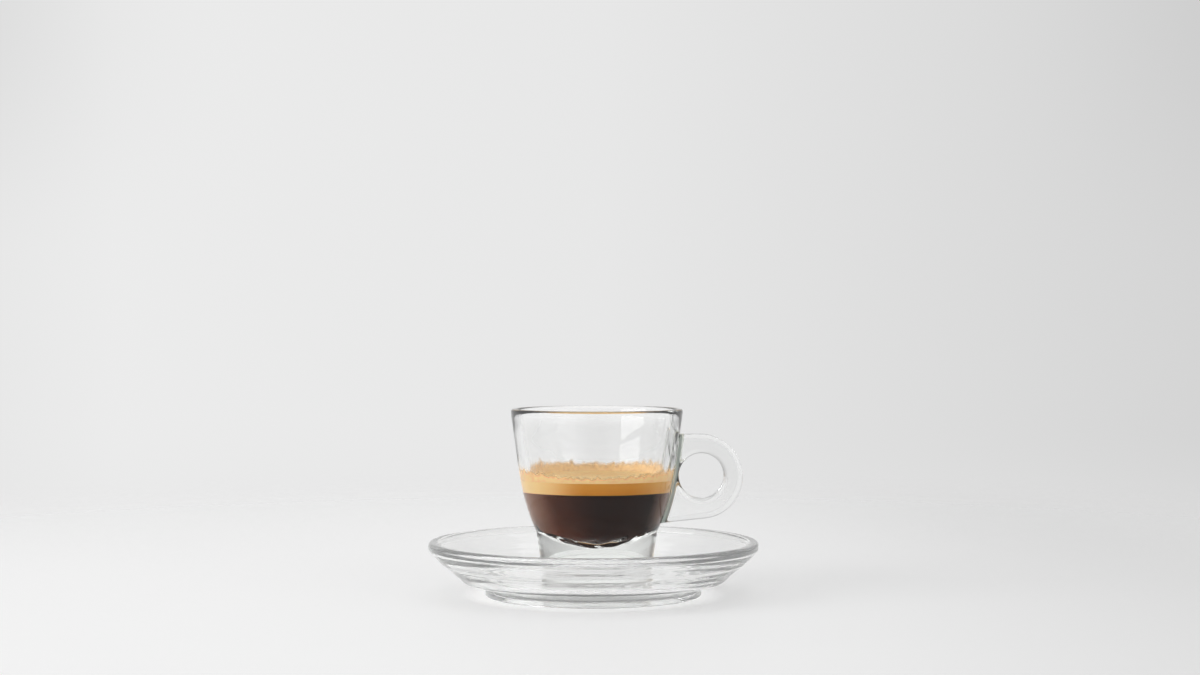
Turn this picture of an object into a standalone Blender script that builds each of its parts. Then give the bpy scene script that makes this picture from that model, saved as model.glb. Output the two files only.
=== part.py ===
"""A double espresso in its clear glass cup, standing on a clear glass saucer.

The saucer is one turned piece with a foot ring, a stepped flange and a shallow
seat for the cup. The cup is a turned body with a thick solid base, and a flat
ring handle is fused to its wall on the +X side. The dark coffee fills the
rounded bowl of the cup, and a layer of golden crema floats on it.

The origin is under the middle of the saucer, on the surface it stands on.
Lengths are written in millimetres and turned into metres by MM.
"""

import math

import bmesh
import bpy

MM = 0.001

# Faceting of the turned pieces
SAUCER_STEPS = 64
CUP_STEPS = 48
ARC_POINTS = 4
MERGE_DISTANCE = 0.01 * MM

# Gap left between pieces that touch
CLEARANCE = 0.3 * MM

# Saucer: radii and heights of the corners that its outline turns through
SAUCER_RADIUS = 60.0 * MM
SAUCER_HEIGHT = 19.6 * MM
LIP_CREST_RADIUS = 58.4 * MM
LIP_WIDEST_HEIGHT = 18.2 * MM
SEAT_RADIUS = 22.0 * MM
SEAT_HEIGHT = 6.8 * MM
WELL_HEIGHT = 7.6 * MM
WELL_RADIUS = 43.0 * MM
FLANGE_TOP = [(46.6, 10.8), (50.4, 13.2), (54.6, 16.2), (57.0, 18.8)]
FLANGE_UNDERSIDE = [(59.7, 17.0), (58.6, 15.2), (55.5, 12.1), (51.4, 8.9), (47.6, 5.4)]
FOOT_TOP_RADIUS = 40.6 * MM
FOOT_TOP_HEIGHT = 3.0 * MM
FOOT_RADIUS = 39.4 * MM
FOOT_INNER_RADIUS = 36.6 * MM
FOOT_BEVEL = 0.4 * MM
RECESS_RADIUS = 35.4 * MM
RECESS_HEIGHT = 2.2 * MM

# Cup: it stands a little towards its handle, in the seat of the saucer
CUP_OFFSET = 1.2 * MM
CUP_FOOT_HEIGHT = SEAT_HEIGHT + CLEARANCE
CUP_FOOT_RADIUS = 19.4 * MM
CUP_FOOT_BEVEL = 0.5 * MM
CUP_KICK_RADIUS = 15.0 * MM
CUP_KICK_DEPTH = 0.9 * MM
RIM_HEIGHT = 67.7 * MM
RIM_CREST_RADIUS = 30.3 * MM
RIM_OUTLINE = [(31.4, 67.1), (31.6, 66.3), (31.2, 64.9)]
RIM_INSIDE = [(28.1, 65.9), (29.0, 67.2)]
OUTER_WALL = [
    (30.4, 60.8),
    (29.6, 54.3),
    (28.5, 47.0),
    (26.7, 37.2),
    (24.6, 29.9),
    (23.1, 25.7),
    (21.8, 23.0),
    (21.9, 20.6),
    (20.5, 13.4),
]
BOWL_BOTTOM_HEIGHT = 17.0 * MM
BOWL_BOTTOM_RADIUS = 20.0 * MM
BOWL_ARC_HEIGHT = 27.0 * MM
BOWL_ARC_STEPS = 6
INNER_WALL = [(19.5, 30.0), (22.3, 37.0), (24.0, 43.5), (25.3, 50.0), (27.0, 59.5)]

# Handle: a flat ring whose outline runs straight into the wall of the cup
HANDLE_CENTRE_X = 37.7 * MM
HANDLE_CENTRE_Z = 43.1 * MM
HANDLE_RADIUS = 15.4 * MM
HANDLE_THICKNESS = 7.0 * MM
HANDLE_EDGE_ROUND = 1.6 * MM
HANDLE_EDGE_RESOLUTION = 1
HANDLE_ARC_POINTS = 18
HANDLE_ROOT_TOP_X = 29.0 * MM
HANDLE_ROOT_BOTTOM_X = 22.0 * MM
HANDLE_ROOT_BOTTOM_Z = 26.0 * MM
FINGER_HOLE_X = 38.0 * MM
FINGER_HOLE_Z = 43.3 * MM
FINGER_HOLE_RADIUS = 8.2 * MM
FINGER_HOLE_POINTS = 24

# Drink: heights of the coffee and of the crema above it
COFFEE_TOP = 37.8 * MM
CREMA_BOTTOM = COFFEE_TOP + CLEARANCE
CREMA_TOP = 42.8 * MM
CREMA_EDGE_RISE = 0.5 * MM
CREMA_EDGE_WIDTH = 1.6 * MM

# Colours read from the photograph: red, green, blue
GLASS_COLOUR = (0.93, 0.96, 0.94)
COFFEE_COLOUR = (0.030, 0.010, 0.006)
CREMA_COLOUR = (0.60, 0.30, 0.07)


def clear_scene():
    """Remove every object the scene starts with."""
    for item in list(bpy.data.objects):
        bpy.data.objects.remove(item, do_unlink=True)


def make_collection(name):
    """Return a new collection linked to the scene."""
    collection = bpy.data.collections.new(name)
    bpy.context.scene.collection.children.link(collection)
    return collection


def make_material(name, colour, roughness, transmission=0.0):
    """Return a Principled material of one colour."""
    material = bpy.data.materials.new(name)
    material.use_nodes = True
    shader = material.node_tree.nodes["Principled BSDF"]
    shader.inputs["Base Color"].default_value = (*colour, 1.0)
    shader.inputs["Roughness"].default_value = roughness
    shader.inputs["Metallic"].default_value = 0.0
    shader.inputs["Transmission Weight"].default_value = transmission
    return material


def metres(points):
    """Return (radius, height) pairs given in millimetres as metres."""
    return [(radius * MM, height * MM) for radius, height in points]


def smooth_run(points, per_span):
    """Return points along a Catmull-Rom curve through the given ones."""
    padded = [points[0], *points, points[-1]]
    run = [points[0]]
    for start in range(len(points) - 1):
        before, here, there, after = padded[start:start + 4]
        for step in range(1, per_span + 1):
            t = step / per_span
            run.append(tuple(
                0.5 * (2 * b + (c - a) * t + (2 * a - 5 * b + 4 * c - d) * t * t
                       + (3 * b - a - 3 * c + d) * t ** 3)
                for a, b, c, d in zip(before, here, there, after)
            ))
    return run


def arc(centre, radius, start, end, count):
    """Return count + 1 points along an arc, its angles in degrees."""
    angles = [math.radians(start + (end - start) * i / count) for i in range(count + 1)]
    return [
        (centre[0] + radius * math.cos(a), centre[1] + radius * math.sin(a))
        for a in angles
    ]


def inset(points, distance):
    """Return an outline moved sideways, to the right of the way it runs."""
    moved = []
    for index, (x, y) in enumerate(points):
        x0, y0 = points[max(index - 1, 0)]
        x1, y1 = points[min(index + 1, len(points) - 1)]
        length = math.hypot(x1 - x0, y1 - y0)
        moved.append((x + distance * (y1 - y0) / length, y - distance * (x1 - x0) / length))
    return moved


def radius_at(outline, height):
    """Return the radius of an outline at a height, between its two nearest points."""
    ordered = sorted(outline, key=lambda point: point[1])
    for (r0, z0), (r1, z1) in zip(ordered, ordered[1:]):
        if z0 <= height <= z1:
            return r0 + (r1 - r0) * (height - z0) / (z1 - z0)
    return ordered[-1][0]


def turned(name, outline, steps, location, collection, material):
    """Return a solid of revolution about Z.

    The outline starts on the axis at the top, runs out and down the outer
    side, and ends on the axis at the bottom.
    """
    mesh = bpy.data.meshes.new(name)
    edges = [(i, i + 1) for i in range(len(outline) - 1)]
    mesh.from_pydata([(radius, 0.0, height) for radius, height in outline], edges, [])
    item = bpy.data.objects.new(name, mesh)
    item.location = location
    collection.objects.link(item)
    mesh.materials.append(material)
    screw = item.modifiers.new("Turn", "SCREW")
    screw.axis = "Z"
    screw.steps = steps
    screw.render_steps = steps
    screw.use_smooth_shade = True
    screw.use_merge_vertices = True
    screw.merge_threshold = MERGE_DISTANCE
    return item


def bowl_outline():
    """Return the inside of the cup from the bottom of its bowl up to the rim."""
    sphere_centre = (0.0, BOWL_BOTTOM_HEIGHT + BOWL_BOTTOM_RADIUS)
    rise = sphere_centre[1] - BOWL_ARC_HEIGHT
    end_angle = -math.degrees(math.asin(rise / BOWL_BOTTOM_RADIUS))
    bottom = arc(sphere_centre, BOWL_BOTTOM_RADIUS, -90.0, end_angle, BOWL_ARC_STEPS)
    wall = smooth_run([bottom[-1], *metres(INNER_WALL), metres(RIM_INSIDE)[0]], 2)
    return [*bottom, *wall[1:], *metres(RIM_INSIDE)[1:], (RIM_CREST_RADIUS, RIM_HEIGHT)]


def outer_outline():
    """Return the outside of the cup from its rim down to its foot."""
    wall = smooth_run(metres([RIM_OUTLINE[-1], *OUTER_WALL]), 2)
    return [*metres(RIM_OUTLINE[:-1]), *wall]


def cup_outline():
    """Return the whole outline of the cup's body."""
    foot = [
        (CUP_FOOT_RADIUS, CUP_FOOT_HEIGHT + CUP_FOOT_BEVEL),
        (CUP_FOOT_RADIUS - CUP_FOOT_BEVEL, CUP_FOOT_HEIGHT),
        (CUP_KICK_RADIUS, CUP_FOOT_HEIGHT),
        (CUP_KICK_RADIUS - CUP_KICK_DEPTH, CUP_FOOT_HEIGHT + CUP_KICK_DEPTH),
        (0.0, CUP_FOOT_HEIGHT + CUP_KICK_DEPTH),
    ]
    return [*bowl_outline(), *outer_outline(), *foot]


def saucer_outline():
    """Return the whole outline of the saucer."""
    return [
        (0.0, SEAT_HEIGHT),
        (SEAT_RADIUS - (WELL_HEIGHT - SEAT_HEIGHT), SEAT_HEIGHT),
        (SEAT_RADIUS, WELL_HEIGHT),
        (WELL_RADIUS, WELL_HEIGHT),
        *smooth_run([(WELL_RADIUS + 1.6 * MM, WELL_HEIGHT + 0.7 * MM), *metres(FLANGE_TOP)], 2),
        (LIP_CREST_RADIUS, SAUCER_HEIGHT),
        (SAUCER_RADIUS - 0.5 * MM, SAUCER_HEIGHT - 0.4 * MM),
        (SAUCER_RADIUS, LIP_WIDEST_HEIGHT),
        *metres(FLANGE_UNDERSIDE),
        (FOOT_TOP_RADIUS, FOOT_TOP_HEIGHT),
        (FOOT_RADIUS, FOOT_TOP_HEIGHT - FOOT_BEVEL * 2),
        (FOOT_RADIUS, FOOT_BEVEL),
        (FOOT_RADIUS - FOOT_BEVEL, 0.0),
        (FOOT_INNER_RADIUS, 0.0),
        (RECESS_RADIUS, RECESS_HEIGHT),
        (0.0, RECESS_HEIGHT),
    ]


def handle_outline():
    """Return the outer edge of the handle in the XZ plane, from root to root."""
    centre = (HANDLE_CENTRE_X, HANDLE_CENTRE_Z)
    ring = arc(centre, HANDLE_RADIUS, 90.0, -95.0, HANDLE_ARC_POINTS)
    top = (HANDLE_ROOT_TOP_X, HANDLE_CENTRE_Z + HANDLE_RADIUS)
    bottom = (HANDLE_ROOT_BOTTOM_X, HANDLE_ROOT_BOTTOM_Z)
    wall = outer_outline()
    root = []
    for share in (0.25, 0.5, 0.75):
        height = bottom[1] + (top[1] - bottom[1]) * share
        sunk = radius_at(wall, height) - (radius_at(wall, top[1]) - top[0])
        root.append((sunk, height))
    return [top, *ring, bottom, *root]


def hole_outline():
    """Return the edge of the finger hole in the XZ plane."""
    centre = (FINGER_HOLE_X, FINGER_HOLE_Z)
    return arc(centre, FINGER_HOLE_RADIUS, 0.0, 360.0, FINGER_HOLE_POINTS)[:-1]


def make_handle(collection):
    """Return the handle as a closed mesh, for the union with the cup."""
    curve = bpy.data.curves.new("handle_outline", "CURVE")
    curve.dimensions = "2D"
    curve.fill_mode = "BOTH"
    curve.extrude = HANDLE_THICKNESS / 2 - HANDLE_EDGE_ROUND
    curve.bevel_depth = HANDLE_EDGE_ROUND
    curve.offset = -HANDLE_EDGE_ROUND
    curve.bevel_resolution = HANDLE_EDGE_RESOLUTION
    for outline in (handle_outline(), hole_outline()):
        spline = curve.splines.new("POLY")
        spline.points.add(len(outline) - 1)
        for point, (x, z) in zip(spline.points, outline):
            point.co = (x, z, 0.0, 1.0)
        spline.use_cyclic_u = True
    guide = bpy.data.objects.new("handle_outline", curve)
    guide.location = (CUP_OFFSET, 0.0, 0.0)
    guide.rotation_euler = (math.radians(90.0), 0.0, 0.0)
    collection.objects.link(guide)
    bpy.context.view_layer.update()

    mesh = bpy.data.meshes.new_from_object(
        guide.evaluated_get(bpy.context.evaluated_depsgraph_get())
    )
    solid = bmesh.new()
    solid.from_mesh(mesh)
    bmesh.ops.remove_doubles(solid, verts=solid.verts, dist=MERGE_DISTANCE)
    bmesh.ops.recalc_face_normals(solid, faces=solid.faces)
    solid.to_mesh(mesh)
    solid.free()
    handle = bpy.data.objects.new("handle", mesh)
    handle.matrix_world = guide.matrix_world
    collection.objects.link(handle)
    bpy.data.objects.remove(guide, do_unlink=True)
    handle.hide_render = True
    handle.display_type = "WIRE"
    return handle


def make_cup(collection, cutters, material):
    """Return the cup: its turned body joined with the handle."""
    cup = turned("cup", cup_outline(), CUP_STEPS, (CUP_OFFSET, 0.0, 0.0), collection, material)
    union = cup.modifiers.new("Join handle", "BOOLEAN")
    union.operation = "UNION"
    union.object = make_handle(cutters)
    return cup


def content_side(bottom, top):
    """Return the side of what fills the bowl, from its top down to its bottom."""
    wall = inset(bowl_outline(), -CLEARANCE)
    between = [point for point in wall if bottom < point[1] < top]
    ends = [(radius_at(wall, top), top), (radius_at(wall, bottom), bottom)]
    return [ends[0], *sorted(between, key=lambda point: -point[1]), ends[1]]


def make_coffee(collection, material):
    """Return the dark coffee, which fills the bowl up to the crema."""
    bottom = BOWL_BOTTOM_HEIGHT + CLEARANCE
    side = [point for point in content_side(bottom, COFFEE_TOP) if point[0] > CLEARANCE]
    outline = [(0.0, COFFEE_TOP), *side, (0.0, bottom)]
    return turned("coffee", outline, CUP_STEPS, (CUP_OFFSET, 0.0, 0.0), collection, material)


def make_crema(collection, material):
    """Return the crema, whose edge climbs a little up the wall of the cup."""
    side = content_side(CREMA_BOTTOM, CREMA_TOP + CREMA_EDGE_RISE)
    inner_edge = side[0][0] - CREMA_EDGE_WIDTH
    outline = [(0.0, CREMA_TOP), (inner_edge, CREMA_TOP), *side, (0.0, CREMA_BOTTOM)]
    return turned("crema", outline, CUP_STEPS, (CUP_OFFSET, 0.0, 0.0), collection, material)


def main():
    """Build the saucer, the cup and the drink."""
    clear_scene()
    parts = make_collection("double_espresso")
    cutters = make_collection("joined_shapes")
    glass = make_material("clear_glass", GLASS_COLOUR, 0.02, 1.0)
    coffee = make_material("coffee", COFFEE_COLOUR, 0.15)
    crema = make_material("crema", CREMA_COLOUR, 0.6)
    turned("saucer", saucer_outline(), SAUCER_STEPS, (0.0, 0.0, 0.0), parts, glass)
    make_cup(parts, cutters, glass)
    make_coffee(parts, coffee)
    make_crema(parts, crema)


main()
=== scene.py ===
"""Looks of a double espresso in a clear glass cup, on its clear glass saucer.

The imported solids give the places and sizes. Each of them is replaced here by a
finer surface of the same form: pressed glass with rounded corners, coffee and
crema that wet the wall of the cup, the foam left above them and its bubbles.
Outlines are written in millimetres, as (radius, height) pairs about the axis of
their piece, and turned into metres by MM.
"""

import logging
import math
from dataclasses import dataclass, field
from enum import Enum
from typing import Any, Callable, Mapping, Optional, Sequence, Union

import bmesh
import bpy
import numpy as np
from bpy.types import Material, Mesh, Object
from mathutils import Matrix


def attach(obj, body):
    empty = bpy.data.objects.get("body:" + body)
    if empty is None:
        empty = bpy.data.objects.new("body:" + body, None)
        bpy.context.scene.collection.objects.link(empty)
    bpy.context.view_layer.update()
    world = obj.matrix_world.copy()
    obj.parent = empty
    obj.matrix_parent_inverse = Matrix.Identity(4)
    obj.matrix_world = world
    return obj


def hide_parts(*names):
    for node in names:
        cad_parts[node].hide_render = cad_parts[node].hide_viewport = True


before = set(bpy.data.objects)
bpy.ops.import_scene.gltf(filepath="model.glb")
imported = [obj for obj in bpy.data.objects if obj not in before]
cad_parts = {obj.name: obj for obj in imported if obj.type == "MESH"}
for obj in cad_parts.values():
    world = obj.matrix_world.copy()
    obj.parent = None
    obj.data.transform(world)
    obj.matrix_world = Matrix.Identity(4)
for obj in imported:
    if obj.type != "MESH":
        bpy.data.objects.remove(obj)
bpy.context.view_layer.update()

LOG = logging.getLogger("double_espresso")

MM = 0.001
PHOTO_WIDTH = 1200
SENSOR_WIDTH = 36.0
# Points of an outline nearer than this, in millimetres, count as one.
DOUBLED = 0.02

Colour = tuple[float, float, float]
Range = tuple[float, float]
Point = tuple[float, float]
Points = Sequence[Point]
Array = np.ndarray
Outline = Array
Operand = Union["Tap", float]

WHITE: Colour = (1.0, 1.0, 1.0)


class Slot(Enum):
    """The record's material slots."""

    GLASS = "clear_glass"
    COFFEE = "coffee"
    CREMA = "crema"


def grey(tone: float) -> Colour:
    """Return the grey of a tone."""
    return (tone, tone, tone)


def operator(operation: str, swapped: bool = False) -> Callable[["Tap", Operand], "Tap"]:
    """Return a method that adds a Math node.

    Args:
        operation: What the node works out of the tap and another value.
        swapped: Whether the other value comes first.

    Returns:
        The method.
    """

    def method(tap: "Tap", other: Operand) -> "Tap":
        """Return the node's result."""
        return tap.apply(operation, other, tap) if swapped else tap.apply(operation, tap, other)

    return method


@dataclass(frozen=True, eq=False)
class Tap:
    """The output of a shader node, which arithmetic extends with more nodes."""

    graph: "Graph"
    socket: bpy.types.NodeSocket

    __add__ = __radd__ = operator("ADD")
    __sub__ = operator("SUBTRACT")
    __rsub__ = operator("SUBTRACT", swapped=True)
    __mul__ = __rmul__ = operator("MULTIPLY")
    __truediv__ = operator("DIVIDE")
    __rtruediv__ = operator("DIVIDE", swapped=True)
    __gt__ = operator("GREATER_THAN")
    __lt__ = operator("LESS_THAN")
    power = operator("POWER")

    def apply(self, operation: str, *values: Operand) -> "Tap":
        """Return the result of a Math node on the given values."""
        return self.graph.node("ShaderNodeMath", {"operation": operation}, dict(enumerate(values)))

    def clamped(self) -> "Tap":
        """Return self held between 0 and 1."""
        return self.apply("MINIMUM", self.apply("MAXIMUM", self, 0.0), 1.0)

    def band(self, start: float, end: float) -> "Tap":
        """Return a smooth step of self.

        Args:
            start: The value where the step leaves 0.
            end: The value where it reaches 1; it may be less than start.

        Returns:
            A tap between 0 and 1.
        """
        low, high, reach = (start, end, (0.0, 1.0)) if start < end else (end, start, (1.0, 0.0))
        return self.graph.node(
            "ShaderNodeMapRange",
            {"interpolation_type": "SMOOTHSTEP"},
            {0: self, 1: low, 2: high, 3: reach[0], 4: reach[1]},
        )


class Graph:
    """A node tree that shader expressions are written into."""

    def __init__(self, owner: Union[Material, bpy.types.World]) -> None:
        """Keep a material or a world, with an empty node tree."""
        owner.use_nodes = True
        self.owner = owner
        self.tree = owner.node_tree
        self.tree.nodes.clear()

    def node(
        self,
        kind: str,
        settings: Optional[Mapping[str, Any]] = None,
        inputs: Optional[Mapping[Union[int, str], Any]] = None,
        output: Union[int, str] = 0,
    ) -> Tap:
        """Add one node.

        Args:
            kind: The node's type name.
            settings: Values set on the node before its sockets; stops gives a
                ramp's (place, colour) pairs.
            inputs: Values, three-part colours or taps by socket name or number.
            output: The output socket that is returned.

        Returns:
            A tap on that output.
        """
        made = self.tree.nodes.new(kind)
        for name, value in (settings or {}).items():
            if name == "stops":
                self._set_stops(made.color_ramp, value)
            else:
                setattr(made, name, value)
        for name, value in (inputs or {}).items():
            socket = made.inputs[name]
            if isinstance(value, Tap):
                self.tree.links.new(value.socket, socket)
            else:
                socket.default_value = (*value, 1.0) if socket.type == "RGBA" else value
        return Tap(self, made.outputs[output] if len(made.outputs) else made.inputs[0])

    @staticmethod
    def _set_stops(ramp: bpy.types.ColorRamp, stops: Sequence[tuple[float, Any]]) -> None:
        """Replace a ramp's stops by the given ones."""
        while len(ramp.elements) > 1:
            ramp.elements.remove(ramp.elements[-1])
        for index, (place, colour) in enumerate(stops):
            element = ramp.elements[0] if index == 0 else ramp.elements.new(place)
            element.position = place
            element.color = (*colour, 1.0)

    def coordinates(self) -> Tap:
        """Return the object coordinates, in metres."""
        return self.node("ShaderNodeTexCoord", output="Object")

    def axes(self, vector: Tap) -> tuple[Tap, Tap, Tap]:
        """Return the three components of a vector."""
        split = self.node("ShaderNodeSeparateXYZ", inputs={0: vector}).socket.node
        return tuple(Tap(self, socket) for socket in split.outputs)

    def noise(self, vector: Tap, scale: float, detail: float = 2.0) -> Tap:
        """Return noise between 0 and 1, with scale in waves per metre."""
        return self.node(
            "ShaderNodeTexNoise", inputs={"Vector": vector, "Scale": scale, "Detail": detail}
        )

    def attribute(self, name: str) -> Tap:
        """Return a number that the mesh holds for each of its points."""
        return self.node("ShaderNodeAttribute", {"attribute_name": name}, output="Fac")

    def cells(self, vector: Tap, scale: float) -> Tap:
        """Return the distance from the nearest cell's middle, with scale in cells per metre."""
        return self.node("ShaderNodeTexVoronoi", inputs={"Vector": vector, "Scale": scale})

    def mix(self, factor: Operand, first: Any, second: Any) -> Tap:
        """Return a blend of two colours, first at factor 0 and second at 1."""
        inputs = {0: factor, 6: first, 7: second}
        return self.node("ShaderNodeMix", {"data_type": "RGBA"}, inputs, 2)

    def blend(self, factor: Operand, first: Tap, second: Tap) -> Tap:
        """Return a blend of two shaders, first at factor 0 and second at 1."""
        return self.node("ShaderNodeMixShader", inputs={0: factor, 1: first, 2: second})

    def principled(self, inputs: Mapping[str, Any]) -> Tap:
        """Return a Principled shader with values or taps by socket name."""
        return self.node("ShaderNodeBsdfPrincipled", inputs=inputs)

    def bump(self, height: Tap, distance: float, strength: float = 1.0) -> Tap:
        """Return a normal tilted by a height, in units of distance in metres."""
        return self.node(
            "ShaderNodeBump", inputs={"Height": height, "Distance": distance, "Strength": strength}
        )

    def surface(self, shader: Tap, volume: Optional[Tap] = None) -> Material:
        """Return the material, ended in a surface shader and, if given, a volume shader."""
        ends = {"Surface": shader} if volume is None else {"Surface": shader, "Volume": volume}
        self.node("ShaderNodeOutputMaterial", inputs=ends)
        return self.owner


def new_graph(name: str) -> Graph:
    """Return the empty graph of a new material."""
    return Graph(bpy.data.materials.new(name))


@dataclass(frozen=True)
class GlassFinish:
    """Clear pressed glass, faintly green in its thick parts, with slow waves. In metres.

    Haze and a painted glow stand for light that is trapped in the glass, and a milky strip
    at the joint of handle and wall is painted light, for the light that the joint bends strongly.
    """

    name: str
    absorbed_colour: Colour = (0.84, 0.93, 0.82)
    absorption: float = 3.5
    reflection: float = 0.65
    wave_scale: float = 90.0
    wave_height: float = 0.00004
    smear: float = 0.02
    haze: float = 0.01
    haze_colour: Colour = (0.93, 0.95, 0.94)
    glow: float = 0.0
    glow_from: Optional[float] = None
    glow_fade: float = 4.0 * MM
    ior: float = 1.5
    root_wall: Points = ()
    root_axis: float = 0.0
    root_start: Range = (0.1 * MM, 0.4 * MM)
    root_end: Range = (2.1 * MM, 0.84 * MM)
    root_side: float = 20.0 * MM
    root_top: float = 58.9 * MM
    root_reach: float = 6.0 * MM
    root_painted_light_colour: Colour = (0.89, 0.97, 0.90)
    root_share: float = 0.46

    def root(self, graph: Graph, place: Tap) -> Tap:
        """Return where the handle flares into the wall.

        Args:
            graph: The material's graph.
            place: The object coordinates.

        Returns:
            1 just outside the wall, down to 0 at the root's end.
        """
        x, y, z = graph.axes(place)
        heights = [height * MM for _, height in self.root_wall]
        low, high = min(heights), max(heights)
        widest = max(radius for radius, _ in self.root_wall) * MM
        stops = sorted(
            ((height - low) / (high - low), grey(radius * MM / widest))
            for (radius, _), height in zip(self.root_wall, heights)
        )
        wall = graph.node("ShaderNodeValToRGB", {"stops": stops}, {0: (z - low) / (high - low)})
        from_axis = ((x - self.root_axis) * (x - self.root_axis) + y * y).power(0.5)
        beyond = from_axis - wall * widest
        near = beyond.band(*self.root_start) * beyond.band(*self.root_end)
        return near * (x > self.root_side) * (z < self.root_top) * (y * y < self.root_reach ** 2)

    def build(self) -> Material:
        """Return the glass material."""
        graph = new_graph(self.name)
        place = graph.coordinates()
        waves = graph.noise(place, self.wave_scale, 1.0)
        smears = graph.noise(place, self.wave_scale * 0.5, 3.0)
        # Painted glow: the glass glows faintly, all over or only above glow_from, though it is no lamp.
        lit: Any = WHITE
        if self.glow_from is not None:
            above = graph.axes(place)[2].band(self.glow_from, self.glow_from + self.glow_fade)
            lit = graph.mix(above, grey(0.0), WHITE)
        shader = graph.principled({
            "Base Color": WHITE,
            "Transmission Weight": 1.0,
            "IOR": self.ior,
            "Roughness": smears.band(0.5, 0.8) * self.smear,
            "Normal": graph.bump(waves, self.wave_height),
            "Specular Tint": grey(self.reflection),
            "Emission Color": lit,
            "Emission Strength": self.glow,
        })
        bloom = graph.node("ShaderNodeBsdfDiffuse", inputs={"Color": self.haze_colour})
        shader = graph.blend(self.haze, shader, bloom)
        if self.root_wall:
            # Painted light: a pale diffuse strip where the handle meets the wall, for light that the
            # joint bends.
            painted_light_strip = graph.node("ShaderNodeBsdfDiffuse", inputs={"Color": self.root_painted_light_colour})
            shader = graph.blend(self.root(graph, place) * self.root_share, shader, painted_light_strip)
        volume = graph.node(
            "ShaderNodeVolumeAbsorption",
            inputs={"Color": self.absorbed_colour, "Density": self.absorption},
        )
        return graph.surface(shader, volume)


@dataclass(frozen=True)
class CoffeeFinish:
    """Very dark coffee, painted redder and lighter towards its bottom and on its lit side: painted light
    for light that shines through it there.

    It is painted paler still at its left and right sides, painted light for light through the thin coffee
    there. Where the view grazes the boundary of glass and coffee, it's thrown back into the glass,
    because the liquid bends light less than the glass. Ranges are places along X in metres.
    """

    bottom: float
    top: float
    dark: Colour = (0.013, 0.0034, 0.0024)
    warm: Colour = (0.30, 0.084, 0.036)
    # Painted light: edge is the colour of the coffee's left and right sides, where light shines through.
    edge: Colour = (0.560, 0.330, 0.240)
    # Painted light: lit is where the lit side is painted lighter; the next two, where the sides are
    # painted paler.
    lit: Range = (0.004, -0.024)
    painted_light_left: Range = (-0.013, -0.0235)
    painted_light_right: Range = (0.0195, 0.0245)
    narrowing: float = 0.3
    against_glass: float = 0.90

    def build(self) -> Material:
        """Return the coffee material."""
        graph = new_graph("espresso_coffee")
        place = graph.coordinates()
        across, _, height = graph.axes(place)
        cloud = graph.noise(place, 70.0, 3.0)
        # Painted light: depth and lit_side make the bottom and the lit side redder and lighter.
        depth = height.band(self.top - 0.2 * (self.top - self.bottom), self.bottom)
        lit_side = across.band(*self.lit)
        painted_light_and_cloud = (depth * (lit_side * 0.85 + 0.12) + cloud * 0.1 + lit_side * 0.5).clamped()
        # Painted light: the left and right sides are painted paler, towards edge.
        inward = (self.top - height) * self.narrowing
        left = (across - inward).band(*self.painted_light_left) * 0.85
        right = (across + inward).band(*self.painted_light_right) * 0.6
        body = graph.mix(painted_light_and_cloud, self.dark, self.warm)
        liquid = graph.principled({
            "Base Color": graph.mix(left + right, body, self.edge),
            "Roughness": cloud.band(0.3, 0.8) * 0.2 + 0.25,
            "Specular IOR Level": 0.05,
        })
        mirror = graph.node("ShaderNodeBsdfGlossy", inputs={"Color": WHITE, "Roughness": 0.02})
        grazing = graph.node("ShaderNodeFresnel", inputs={"IOR": self.against_glass})
        return graph.surface(graph.blend(grazing, liquid, mirror))


@dataclass(frozen=True)
class CremaFinish:
    """Golden foam: deep at its side, paler on top, with fine bubbles.

    A faint painted glow stands for the light that spreads inside it. Its side is
    painted paler, and glows more, on its lit side: painted light. The lit ranges are
    places along X in metres.
    """

    bottom: float
    top: float
    side_low: Colour = (0.78, 0.30, 0.02)
    side_high: Colour = (0.93, 0.46, 0.075)
    side_glow: Colour = (0.30, 0.14, 0.02)
    surface_dark: Colour = (0.90, 0.59, 0.25)
    surface_light: Colour = (0.96, 0.74, 0.42)
    surface_glow: Colour = (0.28, 0.20, 0.10)
    # Painted light: pale is the side's colour where light falls on it, over the lit ranges.
    painted_lit_pale: Colour = (1.0, 0.73, 0.37)
    lit_left: Range = (-0.002, -0.022)
    lit_right: Range = (0.012, 0.027)
    bubble_scale: float = 1500.0
    bubble_depth: float = 0.12 * MM
    pit_scale: float = 675.0
    glow: float = 0.26

    def build(self) -> Material:
        """Return the crema material."""
        graph = new_graph("golden_crema")
        place = graph.coordinates()
        across, _, height = graph.axes(place)
        cloud = graph.noise(place, 140.0, 4.0)
        swirl = graph.noise(place, 45.0)
        bubbles = graph.cells(place, self.bubble_scale)
        rise = height.band(self.bottom, self.top)
        side = graph.mix((rise * 0.7 + cloud * 0.5).clamped(), self.side_low, self.side_high)
        # Painted light: the side is painted paler, and glows more, on its lit side.
        lit = (across.band(*self.lit_left) + across.band(*self.lit_right) * 0.4).clamped()
        side = graph.mix(lit, side, self.painted_lit_pale)
        painted_side_glow = graph.mix(lit, self.side_glow, self.painted_lit_pale)
        marbling = (swirl.band(0.35, 0.65) * 0.6 + cloud.band(0.35, 0.7) * 0.4).clamped()
        foam = graph.mix(marbling, self.surface_dark, self.surface_light)
        pits = graph.cells(place, self.pit_scale).band(0.5, 0.8) * swirl.band(0.45, 0.6) * 0.35
        foam = graph.mix(pits, foam, self.side_high)
        on_top = height.band(self.top - 0.25 * MM, self.top - 0.05 * MM)
        return graph.surface(graph.principled({
            "Base Color": graph.mix(on_top, side, foam),
            "Roughness": bubbles.band(0.0, 0.6) * 0.25 + 0.4,
            "Specular IOR Level": 0.2,
            "Normal": graph.bump(bubbles, self.bubble_depth, 0.5),
            "Emission Color": graph.mix(on_top, painted_side_glow, self.surface_glow),
            "Emission Strength": self.glow,
        }))


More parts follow.
